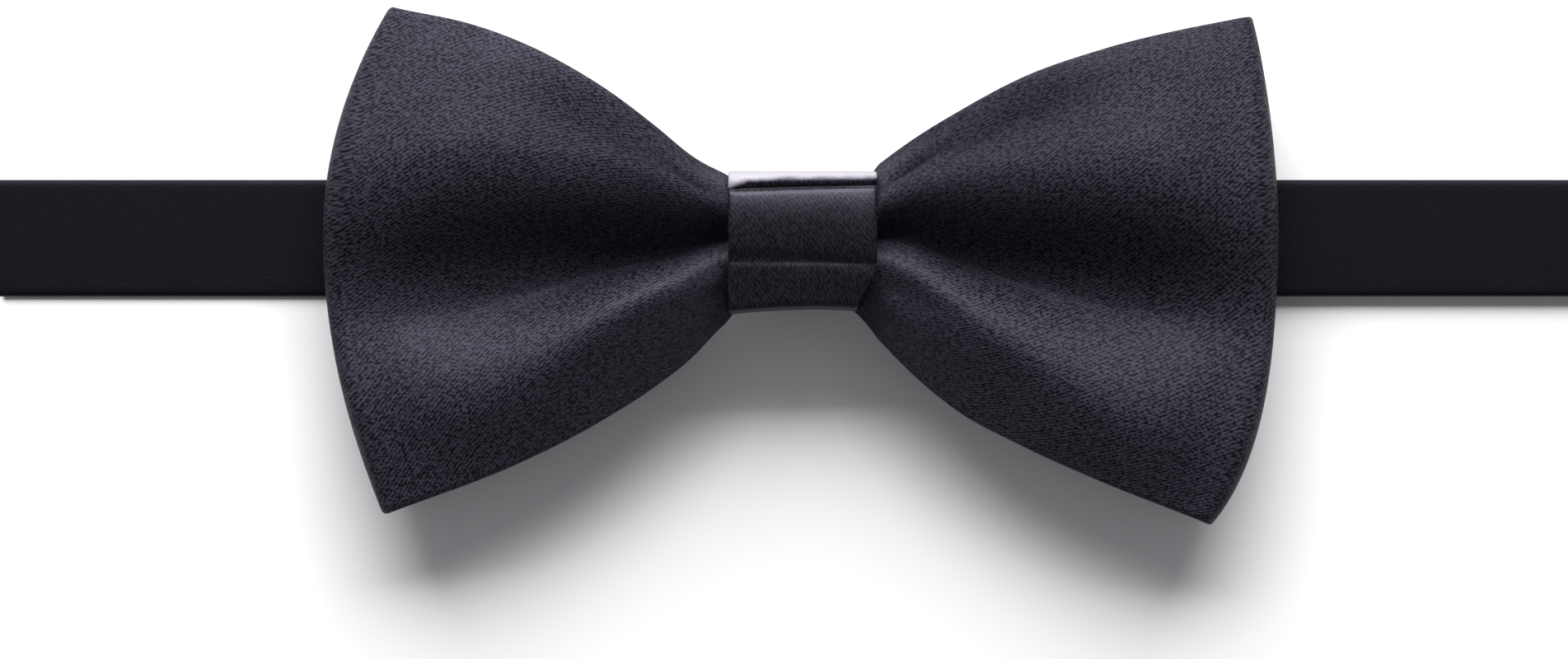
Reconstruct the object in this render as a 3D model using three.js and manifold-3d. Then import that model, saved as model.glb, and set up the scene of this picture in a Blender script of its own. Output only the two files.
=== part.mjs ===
// Pre-tied satin bow tie on an adjustable neck band, lying on its back with the band
// closed up behind the bow. Millimetres, +X along the band, +Y up the shirt front, +Z
// out of the bow's face. The origin is the middle of the outline, on the table.
import * as THREE from "three";
import { mergeVertices } from "three/addons/utils/BufferGeometryUtils.js";
import Module from "manifold-3d";

const wasm = await Module();
wasm.setup();

// ---- Driving dimensions -------------------------------------------------------------
const BAND_Y = 3.55; // the band's middle lies this far above the middle of the outline
const BAND_WIDTH = 15;
const PLY = 0.7; // thickness of the folded and pressed band
const FOLD_X = 105; // the band's straight plies end here and the fold begins
const KNOT_HALF_WIDTH = 9.4;
const GAP = 0.2; // air between neighbouring pieces

// Heights of the layers over the table, from the bottom up.
const LOOP_RADIUS = 1.25; // a band end round its bar, to the middle of the ply
const LOOP_Z = PLY / 2 + LOOP_RADIUS;
const RUNNING_Z = 1.3; // the ply that runs through the slider
const WRAP_PLY = 0.6;
const FLAP_Z = 3.75; // outer layer of the knot wrap's overlap
const WRAP_BACK_Z = 4.5; // inner layer
const FRONT_Z = 5.3; // the band's front ply
const BACK_PLY_Z = 7.25; // back ply of each wing
const PLIES_APART = 1.9; // from a wing's back ply to its front ply at the edges
const WRAP_TOP_Z = 15.6;

// Hardware
const METAL = 1.0;
const BAR_X = 22; // the bars that the band ends are looped round
const FRAME_HALF = 9.2; // half the width of the hook, the eye and the slider
const SLIDER_X = 41;
const SLIDER_HALF_LENGTH = 6;
const RUNNING_END_X = 59; // where the sliding part of the running ply begins

// Layers of a wing: satin, felt, satin
const WING_HALF = 0.8;
const SATIN = 0.35;
const FELT_HALF = 0.3;

// ---- Materials ----------------------------------------------------------------------
const material = (color, roughness, metalness = 0) =>
  new THREE.MeshStandardMaterial({ color, roughness, metalness });
const satin = material(0x1b1b22, 0.45);
const bandSatin = material(0x17171b, 0.6);
const felt = material(0x3a3a3d, 0.95);
const thread = material(0x101013, 0.7);
const platedMetal = material(0x8d8d92, 0.25, 1);

const tie = new THREE.Group();
const layer = new THREE.Group(); // everything is laid out from the band's own middle line
layer.position.y = BAND_Y;
tie.add(layer);

function add(name, geometry, finish) {
  const mesh = new THREE.Mesh(geometry, finish);
  mesh.name = name;
  layer.add(mesh);
  return mesh;
}

// ---- Helpers ------------------------------------------------------------------------
const lerp = THREE.MathUtils.lerp;

// Points round part of a circle, angles in degrees.
function arc(x, z, radius, from, to, steps) {
  return Array.from({ length: steps + 1 }, (_, i) => {
    const a = THREE.MathUtils.degToRad(lerp(from, to, i / steps));
    return [x + radius * Math.cos(a), z + radius * Math.sin(a)];
  });
}

// The outline of a strip of even thickness that follows a path.
function strip(path, thickness) {
  const side = (sign) =>
    path.map(([x, z], i) => {
      const [x0, z0] = path[Math.max(i - 1, 0)];
      const [x1, z1] = path[Math.min(i + 1, path.length - 1)];
      const long = Math.hypot(x1 - x0, z1 - z0);
      const out = (sign * thickness) / 2;
      return [x - ((z1 - z0) / long) * out, z + ((x1 - x0) / long) * out];
    });
  return [...side(1), ...side(-1).reverse()];
}

// A solid of an outline in the XZ plane, width wide across Y.
function acrossY(outline, width, middle = 0) {
  const shape = new THREE.Shape(outline.map(([x, z]) => new THREE.Vector2(x, z)));
  const geometry = new THREE.ExtrudeGeometry(shape, {
    depth: width,
    bevelEnabled: false,
  });
  return geometry.rotateX(Math.PI / 2).translate(0, middle + width / 2, 0);
}

// A solid of an outline in the YZ plane, width long along X.
function acrossX(outline, width) {
  return acrossY(outline, width).rotateZ(Math.PI / 2);
}

function box(x0, x1, y0, y1, z0, z1) {
  const geometry = new THREE.BoxGeometry(x1 - x0, y1 - y0, z1 - z0);
  return geometry.translate((x0 + x1) / 2, (y0 + y1) / 2, (z0 + z1) / 2);
}

function solid(geometry) {
  const bare = geometry.clone();
  bare.deleteAttribute("normal");
  bare.deleteAttribute("uv");
  const merged = mergeVertices(bare, 1e-4);
  return new wasm.Manifold(
    new wasm.Mesh({
      numProp: 3,
      vertProperties: merged.attributes.position.array,
      triVerts: new Uint32Array(merged.index.array),
    }),
  );
}

function joined(geometries) {
  const whole = geometries.map(solid).reduce((a, b) => a.add(b));
  const { vertProperties, triVerts } = whole.getMesh();
  return new THREE.BufferGeometry()
    .setAttribute("position", new THREE.BufferAttribute(vertProperties, 3))
    .setIndex(new THREE.BufferAttribute(triVerts, 1));
}

// A closed body from rings of points; with inner rings it is a tube, open at both ends.
function loft(rings, innerRings) {
  const count = rings[0].length;
  const positions = [...rings, ...(innerRings ?? [])].flat(2);
  const faces = [];
  const quad = (a, b, c, d) => faces.push(a, b, c, a, c, d);
  const wall = (first, outward) => {
    for (let i = 0; i < rings.length - 1; i++)
      for (let j = 0; j < count; j++) {
        const k = (j + 1) % count;
        const a = first + i * count + j;
        const b = first + i * count + k;
        if (outward) quad(a, a + count, b + count, b);
        else quad(a, b, b + count, a + count);
      }
  };
  wall(0, true);
  const last = (rings.length - 1) * count;
  if (innerRings) {
    const inner = rings.length * count;
    wall(inner, false);
    for (let j = 0; j < count; j++) {
      const k = (j + 1) % count;
      quad(j, k, inner + k, inner + j);
      quad(last + k, last + j, inner + last + j, inner + last + k);
    }
  } else {
    for (let j = 0; j < count / 2 - 1; j++) {
      const far = count - 1 - j;
      quad(j, j + 1, far - 1, far);
      quad(last + j + 1, last + j, last + far, last + far - 1);
    }
  }
  return new THREE.BufferGeometry()
    .setAttribute("position", new THREE.Float32BufferAttribute(positions, 3))
    .setIndex(faces);
}

// ---- Neck band ----------------------------------------------------------------------
const FOLD_RADIUS = (FRONT_Z - PLY / 2) / 2;
const FOLD_Z = PLY / 2 + FOLD_RADIUS;
const FOLD_STEPS = 10;
const FOLD_END_X = FOLD_X - GAP; // the straight plies stop just short of the fold
const mirrored = (path) => path.map(([x, z]) => [-x, z]);

add(
  "neck_band_front",
  box(
    -FOLD_END_X,
    FOLD_END_X,
    -BAND_WIDTH / 2,
    BAND_WIDTH / 2,
    FRONT_Z - PLY / 2,
    FRONT_Z + PLY / 2,
  ),
  bandSatin,
);
const foldPath = arc(FOLD_X, FOLD_Z, FOLD_RADIUS, 90, -90, FOLD_STEPS);
add(
  "band_fold_left",
  acrossY(strip(mirrored(foldPath), PLY), BAND_WIDTH),
  bandSatin,
);
add("band_fold_right", acrossY(strip(foldPath, PLY), BAND_WIDTH), bandSatin);

// The left end lies on the table, goes round the eye's bar and is tacked to itself.
const TAIL_Z = 1.25;
const TAIL_END_X = 41;
add(
  "neck_band_left",
  acrossY(
    strip(
      mirrored([
        [FOLD_END_X, PLY / 2],
        ...arc(BAR_X, LOOP_Z, LOOP_RADIUS, -90, -270, 8),
        [BAR_X + 4, 2.1],
        [BAR_X + 7, TAIL_Z],
        [TAIL_END_X, TAIL_Z],
      ]),
      PLY,
    ),
    BAND_WIDTH,
  ),
  bandSatin,
);

// The right end rises a little off the table to run through the slider.
add(
  "neck_band_right",
  acrossY(
    strip(
      [
        [FOLD_END_X, PLY / 2],
        [FOLD_X - 2, PLY / 2],
        [FOLD_X - 4, RUNNING_Z - 0.1],
        [FOLD_X - 5.5, RUNNING_Z],
        [RUNNING_END_X, RUNNING_Z],
      ],
      PLY,
    ),
    BAND_WIDTH,
  ),
  bandSatin,
);
const LOOP_END_X = BAR_X + 2;
add(
  "strap_running_end",
  acrossY(
    strip(
      [
        [RUNNING_END_X - GAP, RUNNING_Z],
        [BAR_X + 11, RUNNING_Z],
        [BAR_X + 6, 0.7],
        [LOOP_END_X + GAP, PLY / 2],
      ],
      PLY,
    ),
    BAND_WIDTH,
  ),
  bandSatin,
);
add(
  "strap_end_loop",
  acrossY(
    strip(
      [
        [LOOP_END_X, PLY / 2],
        ...arc(BAR_X, LOOP_Z, LOOP_RADIUS, -90, -270, 8),
        [LOOP_END_X, LOOP_Z + LOOP_RADIUS],
      ],
      PLY,
    ),
    BAND_WIDTH,
  ),
  bandSatin,
);

// The strap comes back from the hook, goes round the slider's middle bar and is tacked.
const RETURN_PLY = 0.5;
const MIDDLE_BAR_Z = 2.85;
const MIDDLE_BAR_LOOP = 0.75;
const TACK_LENGTH = 9;
const SLIDER_TAIL_Z = MIDDLE_BAR_Z - MIDDLE_BAR_LOOP;
add(
  "strap_return",
  acrossY(
    strip(
      [
        [SLIDER_X - TACK_LENGTH, SLIDER_TAIL_Z],
        [SLIDER_X - 1, SLIDER_TAIL_Z],
        ...arc(SLIDER_X + 0.6, MIDDLE_BAR_Z, MIDDLE_BAR_LOOP, -90, 90, 6),
        [SLIDER_X - 1.4, MIDDLE_BAR_Z + MIDDLE_BAR_LOOP],
        [SLIDER_X - 4.5, MIDDLE_BAR_Z + 0.05],
        [LOOP_END_X + GAP, MIDDLE_BAR_Z],
      ],
      RETURN_PLY,
    ),
    BAND_WIDTH,
  ),
  bandSatin,
);

// A thread of round section through points; across is any direction off its path.
const X_AXIS = new THREE.Vector3(1, 0, 0);
const Z_AXIS = new THREE.Vector3(0, 0, 1);
function threadThrough(points, radius, across) {
  const rings = points.map((point, i) => {
    const next = points[Math.min(i + 1, points.length - 1)];
    const along = next.clone().sub(points[Math.max(i - 1, 0)]);
    const u = along.clone().cross(across).normalize();
    const w = along.clone().cross(u).normalize();
    return Array.from({ length: 6 }, (_, j) => {
      const a = (Math.PI * j) / 3;
      return point
        .clone()
        .addScaledVector(u, -radius * Math.cos(a))
        .addScaledVector(w, radius * Math.sin(a))
        .toArray();
    });
  });
  return loft(rings);
}

// A bar tack is one thread sewn to and fro across the band.
const TACK_STITCHES = 13;
function barTack(x, z) {
  const points = Array.from({ length: TACK_STITCHES }, (_, i) => {
    const y = (i / (TACK_STITCHES - 1) - 0.5) * (BAND_WIDTH - 2);
    return new THREE.Vector3(x + (i % 2 ? 0.9 : -0.9), y, z);
  });
  return threadThrough(points, 0.17, Z_AXIS);
}

const ON_TOP = 0.23; // a thread's middle over the cloth that it lies on
add("eye_bar_tack", barTack(-TAIL_END_X + 6, TAIL_Z + PLY / 2 + ON_TOP), thread);
add(
  "slider_bar_tack",
  barTack(SLIDER_X - 7, MIDDLE_BAR_Z + RETURN_PLY / 2 + ON_TOP),
  thread,
);

// ---- Eye, hook and slider -----------------------------------------------------------
const ARM = 1.3; // width of a side arm
function sideArms(x0, x1, z0, z1) {
  return [-1, 1].map((side) => {
    const outer = side * FRAME_HALF;
    const inner = side * (FRAME_HALF - ARM);
    return box(x0, x1, Math.min(outer, inner), Math.max(outer, inner), z0, z1);
  });
}

const PLATE_BOTTOM = LOOP_Z - METAL / 2;
const PLATE_TOP = LOOP_Z + METAL / 2;
const EYE_FRONT_X = BAR_X - 7;
add(
  "eye",
  joined([
    box(-BAR_X - 0.5, -BAR_X + 0.5, -FRAME_HALF, FRAME_HALF, PLATE_BOTTOM, PLATE_TOP),
    ...sideArms(-BAR_X - 0.5, -EYE_FRONT_X + 0.6, PLATE_BOTTOM, PLATE_TOP),
    box(
      -EYE_FRONT_X - 0.6,
      -EYE_FRONT_X + 0.6,
      -FRAME_HALF,
      FRAME_HALF,
      LOOP_Z - 0.4,
      LOOP_Z + 0.4,
    ),
  ]),
  platedMetal,
);

// The hook's tongue is cranked up off the plate and curls back under itself.
const TONGUE = 0.7;
const TONGUE_WIDTH = 7;
const MOUTH_RADIUS = 0.8;
const PLATE_X = BAR_X - 6;
const tonguePath = [
  [PLATE_X + 1.2, LOOP_Z],
  [PLATE_X - 0.2, LOOP_Z],
  [PLATE_X - 1.4, LOOP_Z + MOUTH_RADIUS],
  ...arc(PLATE_X - 4.4, LOOP_Z, MOUTH_RADIUS, 90, 270, 8),
  [PLATE_X - 2.6, LOOP_Z - MOUTH_RADIUS],
];
add(
  "hook",
  joined([
    box(BAR_X - 0.5, BAR_X + 0.5, -FRAME_HALF, FRAME_HALF, PLATE_BOTTOM, PLATE_TOP),
    ...sideArms(PLATE_X, BAR_X + 0.5, PLATE_BOTTOM, PLATE_TOP),
    box(PLATE_X, PLATE_X + 3.2, -FRAME_HALF, FRAME_HALF, PLATE_BOTTOM, PLATE_TOP),
    acrossY(strip(tonguePath, TONGUE), TONGUE_WIDTH),
  ]),
  platedMetal,
);

// The slider is arched: two outer bars pass under the running ply and the middle bar over.
const OUTER_BAR = 0.75;
const railPath = [
  [SLIDER_X - SLIDER_HALF_LENGTH - 0.8, OUTER_BAR / 2],
  [SLIDER_X - SLIDER_HALF_LENGTH + 0.8, OUTER_BAR / 2],
  [SLIDER_X - 2.4, MIDDLE_BAR_Z - 0.5],
  [SLIDER_X - 1, MIDDLE_BAR_Z],
  [SLIDER_X + 1, MIDDLE_BAR_Z],
  [SLIDER_X + 2.4, MIDDLE_BAR_Z - 0.5],
  [SLIDER_X + SLIDER_HALF_LENGTH - 0.8, OUTER_BAR / 2],
  [SLIDER_X + SLIDER_HALF_LENGTH + 0.8, OUTER_BAR / 2],
];
const outerBar = (x) =>
  box(x - 0.8, x + 0.8, -FRAME_HALF, FRAME_HALF, 0, OUTER_BAR);
add(
  "slider",
  joined([
    ...[-1, 1].map((side) =>
      acrossY(strip(railPath, OUTER_BAR), ARM, side * (FRAME_HALF - ARM / 2)),
    ),
    outerBar(SLIDER_X - SLIDER_HALF_LENGTH),
    outerBar(SLIDER_X + SLIDER_HALF_LENGTH),
    box(
      SLIDER_X - 1,
      SLIDER_X + 1,
      -FRAME_HALF,
      FRAME_HALF,
      MIDDLE_BAR_Z - 0.3,
      MIDDLE_BAR_Z + 0.3,
    ),
  ]),
  platedMetal,
);

// ---- Bow ----------------------------------------------------------------------------
// The bow is one flat tube of satin over felt. From its end at the middle of the back it
// runs out behind, round an outer fold, across the front, round the other outer fold and
// back to the middle. The knot holds it pinched.
const bezier = (...points) =>
  new THREE.CubicBezierCurve(...points.map(([x, y]) => new THREE.Vector2(x, y)));
const PINCH_TOP = 5.8;
const PINCH_BOTTOM = -7.3;
const PINCH_END_X = KNOT_HALF_WIDTH + 0.5; // pinched as far as the knot reaches
const WING_X = KNOT_HALF_WIDTH + 1.3; // where a wing has spread out of the knot
const LEFT_OUTLINE = {
  top: bezier([WING_X, 8], [21.5, 17.8], [35.5, 26], [51.6, 29.2]),
  bottom: bezier([WING_X, -11.2], [18.5, -21.5], [33.5, -29], [52.4, -34.9]),
  outer: bezier([52.4, -34.9], [62, -11], [61.6, 9], [51.6, 29.2]),
};
const RIGHT_OUTLINE = {
  top: bezier([WING_X, 9], [20, 17.8], [35.5, 25.2], [56.4, 27.5]),
  bottom: bezier([WING_X, -13.2], [16.5, -23.5], [31.5, -29.5], [51.6, -36.3]),
  outer: bezier([51.6, -36.3], [60.5, -16], [61, 12], [56.4, 27.5]),
};

// A point of the flat outline: t from the knot outwards, v from the lower edge upwards.
function outlinePoint({ top, bottom, outer }, t, v) {
  const above = top.getPoint(t);
  const below = bottom.getPoint(t);
  const chord = bottom.getPoint(1).lerp(top.getPoint(1), v);
  const bulge = outer.getPoint(v).sub(chord).multiplyScalar(t);
  return below.lerp(above, v).add(bulge);
}

// Height of the front ply over the back ply: two lobes with a pleat between them.
function rise(t, v) {
  const across = 2 * v - 1;
  const lobe = 4.2 + 5.2 * Math.sin(0.9 * Math.PI * t) - 1.2 * t;
  const crown = 1 - Math.abs(across) ** 2.5;
  const pleat = 0.95 * (1 - t ** 2) * Math.exp(-((across / 0.27) ** 2));
  return PLIES_APART + lobe * (crown - pleat);
}

const FRONT_STEPS = 7;
const OUTER_STEPS = 4;
const BACK_STEPS = 3;
const ACROSS_STEPS = 12;

// Rows across one wing's middle surface, from the middle of the front, round the outer
// fold and back to the middle behind. Each row takes v and gives a point.
function wingRows(outline, side) {
  const point = (x, y, z) => new THREE.Vector3(side * x, y, BACK_PLY_Z + z);
  const pinched = (x, z) => (v) => point(x, lerp(PINCH_BOTTOM, PINCH_TOP, v), z(v));
  const foldedAt = (v) => 1 - rise(1, v) / 2 / outline.outer.getPoint(v).x;
  const atRest = (v) => 0;
  const spread = (t, z) => (v) => {
    const { x, y } = outlinePoint(outline, t * foldedAt(v), v);
    return point(x, y, z(t, v));
  };
  const folded = (angle) => (v) => {
    const from = outlinePoint(outline, foldedAt(v), v);
    const { x, y } = from.lerp(outline.outer.getPoint(v), Math.cos(angle));
    return point(x, y, (rise(1, v) / 2) * (1 + Math.sin(angle)));
  };
  const evenly = (steps) => Array.from({ length: steps + 1 }, (_, i) => i / steps);
  return [
    pinched(GAP, (v) => rise(0, v)),
    pinched(PINCH_END_X, (v) => rise(0, v)),
    ...evenly(FRONT_STEPS).map((t) => spread(t, rise)),
    ...evenly(OUTER_STEPS)
      .slice(1, -1)
      .map((t) => folded(Math.PI * (0.5 - t))),
    ...evenly(BACK_STEPS).map((t) => spread(1 - t, atRest)),
    pinched(PINCH_END_X, atRest),
    pinched(GAP, atRest),
  ];
}
const bowRows = [
  ...wingRows(LEFT_OUTLINE, -1).reverse(),
  ...wingRows(RIGHT_OUTLINE, 1),
];

// Closed rings round a layer of the bow: half thick each way, and inset at both edges.
function bowRings(half, inset) {
  return bowRows.map((at, row) => {
    const before = bowRows[Math.max(row - 1, 0)];
    const after = bowRows[Math.min(row + 1, bowRows.length - 1)];
    const edge = inset / at(1).distanceTo(at(0));
    const face = (sign) =>
      Array.from({ length: ACROSS_STEPS + 1 }, (_, i) => {
        const v = lerp(edge, 1 - edge, i / ACROSS_STEPS);
        const along = after(v).sub(before(v));
        const across = at(Math.min(v + 0.02, 1)).sub(at(Math.max(v - 0.02, 0)));
        const outward = along.cross(across).normalize();
        return at(v).addScaledVector(outward, sign * half).toArray();
      });
    return [...face(1), ...face(-1).reverse()];
  });
}
add(
  "bow_satin",
  loft(bowRings(WING_HALF, 0), bowRings(WING_HALF - SATIN, SATIN)),
  satin,
);
add("bow_interlining", loft(bowRings(FELT_HALF, SATIN + 0.2)), felt);

// ---- Knot ---------------------------------------------------------------------------
const KNOT_TOP = 8;
const KNOT_BOTTOM = -9.5;
const CREASE_Y = -2.8; // a soft crease runs across the front of the wrap
const CREASE_DEPTH = 0.5;

// The front of the knot from the lower back corner up and over, inset from the wrap.
function knotFront(inset, crease) {
  const top = KNOT_TOP - inset;
  const bottom = KNOT_BOTTOM + inset;
  const front = WRAP_TOP_Z - inset;
  const soft = 4.2 - inset / 2;
  return [
    ...arc(bottom + soft, front - soft, soft, 180, 90, 6),
    [CREASE_Y - 0.9, front - crease / 4],
    [CREASE_Y, front - crease],
    [CREASE_Y + 0.9, front - crease / 4],
    ...arc(top - soft, front - soft, soft, 90, 0, 6),
  ];
}
const BACK_CORNER = 1.2;
add(
  "knot_wrap",
  acrossX(
    strip(
      [
        [3, WRAP_BACK_Z],
        ...arc(
          KNOT_BOTTOM + BACK_CORNER,
          WRAP_BACK_Z + BACK_CORNER,
          BACK_CORNER,
          270,
          180,
          3,
        ),
        ...knotFront(0, CREASE_DEPTH),
        ...arc(KNOT_TOP - BACK_CORNER, FLAP_Z + BACK_CORNER, BACK_CORNER, 0, -90, 3),
        [-4, FLAP_Z],
      ],
      WRAP_PLY,
    ),
    2 * KNOT_HALF_WIDTH,
  ),
  satin,
);
// A stiff strip under the wrap keeps the front of the knot smooth.
add(
  "knot_interlining",
  acrossX(strip(knotFront(0.7, CREASE_DEPTH), 0.3), 2 * KNOT_HALF_WIDTH - 2),
  felt,
);

// Thread wound round the pinched middle of the bow, under the wrap.
const WINDING_TURNS = 4;
const WINDING_PITCH = 0.9;
const WINDING_TOP = 6.8;
const WINDING_BOTTOM = -8.35;
const WINDING_FRONT_Z = 13.95;
const WINDING_BACK_Z = 6.15;
const WINDING_CORNERS = [
  [WINDING_BOTTOM, WINDING_BACK_Z + 0.8],
  [WINDING_BOTTOM + 0.8, WINDING_BACK_Z],
  [WINDING_TOP - 0.8, WINDING_BACK_Z],
  [WINDING_TOP, WINDING_BACK_Z + 0.8],
  [WINDING_TOP, WINDING_FRONT_Z - 2.6],
  [WINDING_TOP - 2, WINDING_FRONT_Z],
  [WINDING_BOTTOM + 2, WINDING_FRONT_Z],
  [WINDING_BOTTOM, WINDING_FRONT_Z - 2.6],
];
const windingPoints = Array.from(
  { length: WINDING_TURNS * WINDING_CORNERS.length },
  (_, i) => {
    const turns = i / WINDING_CORNERS.length;
    const [y, z] = WINDING_CORNERS[i % WINDING_CORNERS.length];
    return new THREE.Vector3((turns - WINDING_TURNS / 2) * WINDING_PITCH, y, z);
  },
);
add("gather_thread", threadThrough(windingPoints, 0.2, X_AXIS), thread);

// A row of slanting hand stitches closes the wrap's overlap at the back.
const STITCHES = 15;
const stitchPoints = Array.from(
  { length: STITCHES },
  (_, i) =>
    new THREE.Vector3(
      lerp(1.5 - KNOT_HALF_WIDTH, KNOT_HALF_WIDTH - 1.5, i / (STITCHES - 1)),
      -4 + (i % 2 ? 1.1 : -0.6),
      FLAP_Z - WRAP_PLY / 2 - 0.2,
    ),
);
add("wrap_stitches", threadThrough(stitchPoints, 0.15, Z_AXIS), thread);

export default tie;
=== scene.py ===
import math

import bpy
import numpy as np
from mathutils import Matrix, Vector


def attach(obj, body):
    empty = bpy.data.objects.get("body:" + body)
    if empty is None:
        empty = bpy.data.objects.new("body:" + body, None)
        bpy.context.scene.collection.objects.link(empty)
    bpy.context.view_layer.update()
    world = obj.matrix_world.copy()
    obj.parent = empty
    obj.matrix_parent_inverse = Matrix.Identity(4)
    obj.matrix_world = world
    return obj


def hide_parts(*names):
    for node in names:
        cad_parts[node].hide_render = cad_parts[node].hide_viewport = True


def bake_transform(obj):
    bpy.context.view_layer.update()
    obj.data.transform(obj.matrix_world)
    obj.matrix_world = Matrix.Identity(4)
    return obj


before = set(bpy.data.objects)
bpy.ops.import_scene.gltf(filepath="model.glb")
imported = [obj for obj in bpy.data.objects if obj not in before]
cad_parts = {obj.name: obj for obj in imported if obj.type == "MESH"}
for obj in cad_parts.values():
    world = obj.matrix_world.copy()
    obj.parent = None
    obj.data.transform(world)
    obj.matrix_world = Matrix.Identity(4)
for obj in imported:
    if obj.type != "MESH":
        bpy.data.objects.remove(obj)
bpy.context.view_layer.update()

# ---- Table, light and camera --------------------------------------------------------
# The tie lies face up on a white table. One large soft light stands low beyond the
# bow's upper edge, and the camera looks straight down.
MM = 0.001
bpy.ops.mesh.primitive_plane_add(size=3)
table = bpy.context.object
table.name = "table"

paper = bpy.data.materials.new("white_table")
paper.use_nodes = True
paper_shader = paper.node_tree.nodes["Principled BSDF"]
paper_shader.inputs["Base Color"].default_value = (0.93, 0.93, 0.935, 1)
paper_shader.inputs["Roughness"].default_value = 0.9
paper_shader.inputs["Specular IOR Level"].default_value = 0.1
table.data.materials.append(paper)

LIGHT_PLACE = Vector((-0.02, 0.67, 0.41))
light = bpy.data.lights.new("key", "AREA")
light.shape = "RECTANGLE"
light.size = 0.9
light.size_y = 0.5
light.energy = 17.3
lamp = bpy.data.objects.new("key", light)
bpy.context.collection.objects.link(lamp)
lamp.location = LIGHT_PLACE
lamp.rotation_euler = (-LIGHT_PLACE).to_track_quat("-Z", "Y").to_euler()

sky = bpy.data.worlds.new("studio")
sky.use_nodes = True
sky.node_tree.nodes["Background"].inputs["Color"].default_value = (0.95, 0.96, 1, 1)
sky.node_tree.nodes["Background"].inputs["Strength"].default_value = 0.23
bpy.context.scene.world = sky
bpy.context.scene.view_settings.view_transform = "Standard"

LENS = 110
SENSOR = 36
VIEW_WIDTH = 198.5 * MM
VIEW_MIDDLE = (-2.35 * MM, -8.13 * MM)
SHARP_HEIGHT = 11 * MM  # the height that VIEW_WIDTH is measured at
lens = bpy.data.cameras.new("camera")
lens.lens = LENS
lens.sensor_width = SENSOR
lens.clip_start = 0.01
camera = bpy.data.objects.new("camera", lens)
bpy.context.collection.objects.link(camera)
camera.location = (*VIEW_MIDDLE, SHARP_HEIGHT + VIEW_WIDTH * LENS / SENSOR)
bpy.context.scene.camera = camera

# ---- Bow ----------------------------------------------------------------------------
# One flat tube of black satin over felt, cut to a butterfly outline. It runs from the
# middle of the back round an outer fold, across the front and round the other outer
# fold to the middle again, and the knot pinches it into a pleat.
BAND_Y = 3.55  # the band's middle line, which heights and widths are laid out from
BACK_Z = 7.25  # middle of the bow's back ply
BOW_PLY = 1.5  # satin, felt and satin together
PINCH = (-7.3, 5.8)  # the bow's lower and upper edge in the middle of the knot
KNOT_EDGE_X = 9.3  # where it leaves the wrap


def bezier(p0, p1, p2, p3, t):
    t = np.asarray(t, float)[..., None]
    p0, p1, p2, p3 = (np.array(p, float) for p in (p0, p1, p2, p3))
    a = (1 - t) ** 3 * p0 + 3 * t * (1 - t) ** 2 * p1
    return a + 3 * t**2 * (1 - t) * p2 + t**3 * p3


def through(known, x, level_ends=True):
    """A smooth curve through known (place, value) pairs."""
    px, py = np.array(known, float).T
    slopes = np.gradient(py, px)
    if level_ends:
        slopes[0] = slopes[-1] = 0
    x = np.clip(x, px[0], px[-1])
    i = np.clip(np.searchsorted(px, x, side="right") - 1, 0, len(px) - 2)
    width = px[i + 1] - px[i]
    s = (x - px[i]) / width
    start = (1 + 2 * s) * (1 - s) ** 2 * py[i] + s * (1 - s) ** 2 * width * slopes[i]
    end = s**2 * (3 - 2 * s) * py[i + 1] + s**2 * (s - 1) * width * slopes[i + 1]
    return start + end


# Each wing's edges, from the knot outwards, on a wing turned to the right
LEFT_WING = {
    "side": -1,
    "top": [(9.9, 7.6), (14, 9.9), (19, 14.1), (24, 18), (31.5, 22.6), (41.5, 26.8), (51.7, 29.2)],
    "bottom": [(9.9, -10.6), (14, -15), (19, -19), (26.5, -23.8), (36.5, -28.9), (52.6, -35.1)],
    "outer": ((52.6, -35.1), (61.2, -13.5), (64.4, 8), (51.7, 29.2)),
    # where the wing leaves the wrap
    "knot_edge": (-9.4, 7),
    # the pleat's place from the lower edge, 0, to the upper edge, 1, by distance out
    "pleat": [(0, 0.54), (0.2, 0.47), (0.42, 0.405), (0.65, 0.378), (1, 0.378)],
    "ridge_shift": 0.02,  # of the upper ridge's place
    "lower_steep": 1.1,
    "gathers": 0.3,
}
RIGHT_WING = {
    "side": 1,
    "top": [(9.9, 9), (14.8, 12.6), (19.8, 15.7), (27.3, 19.8), (37.3, 23.4), (47.4, 26.1), (56.4, 28)],
    "bottom": [(9.9, -13), (14.8, -17.9), (19.8, -22), (27.3, -26.1), (37.3, -30.7), (51.2, -36.3)],
    "outer": ((51.2, -36.3), (63.6, -22.5), (59.6, 16), (56.4, 28)),
    "knot_edge": (-11.9, 7.6),
    "pleat": [(0, 0.57), (0.19, 0.47), (0.3, 0.43), (0.53, 0.392), (1, 0.388)],
    "ridge_shift": -0.07,
    "lower_steep": 0.8,
    "gathers": 1.9,
}
# Heights over the back ply, by distance out from the knot
PLEAT_HEIGHT = [(0, 1.7), (0.12, 1.7), (0.5, 1.9), (0.8, 2.2), (1, 2.4)]
UPPER_RIDGE = [(0, 5.8), (0.15, 8.8), (0.45, 11.4), (0.75, 11), (1, 7.2)]
LOWER_RIDGE = [(0, 5.2), (0.15, 7.2), (0.45, 8.1), (0.75, 6.9), (1, 4.5)]
UPPER_EDGE = [(0, 2.5), (0.12, 5.4), (0.3, 7.4), (0.45, 7.5), (0.68, 5.2), (0.9, 2.8), (1, 2)]
LOWER_EDGE = [(0, 1.7), (0.15, 2.2), (0.45, 3.5), (0.75, 3.9), (1, 2.7)]
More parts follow.
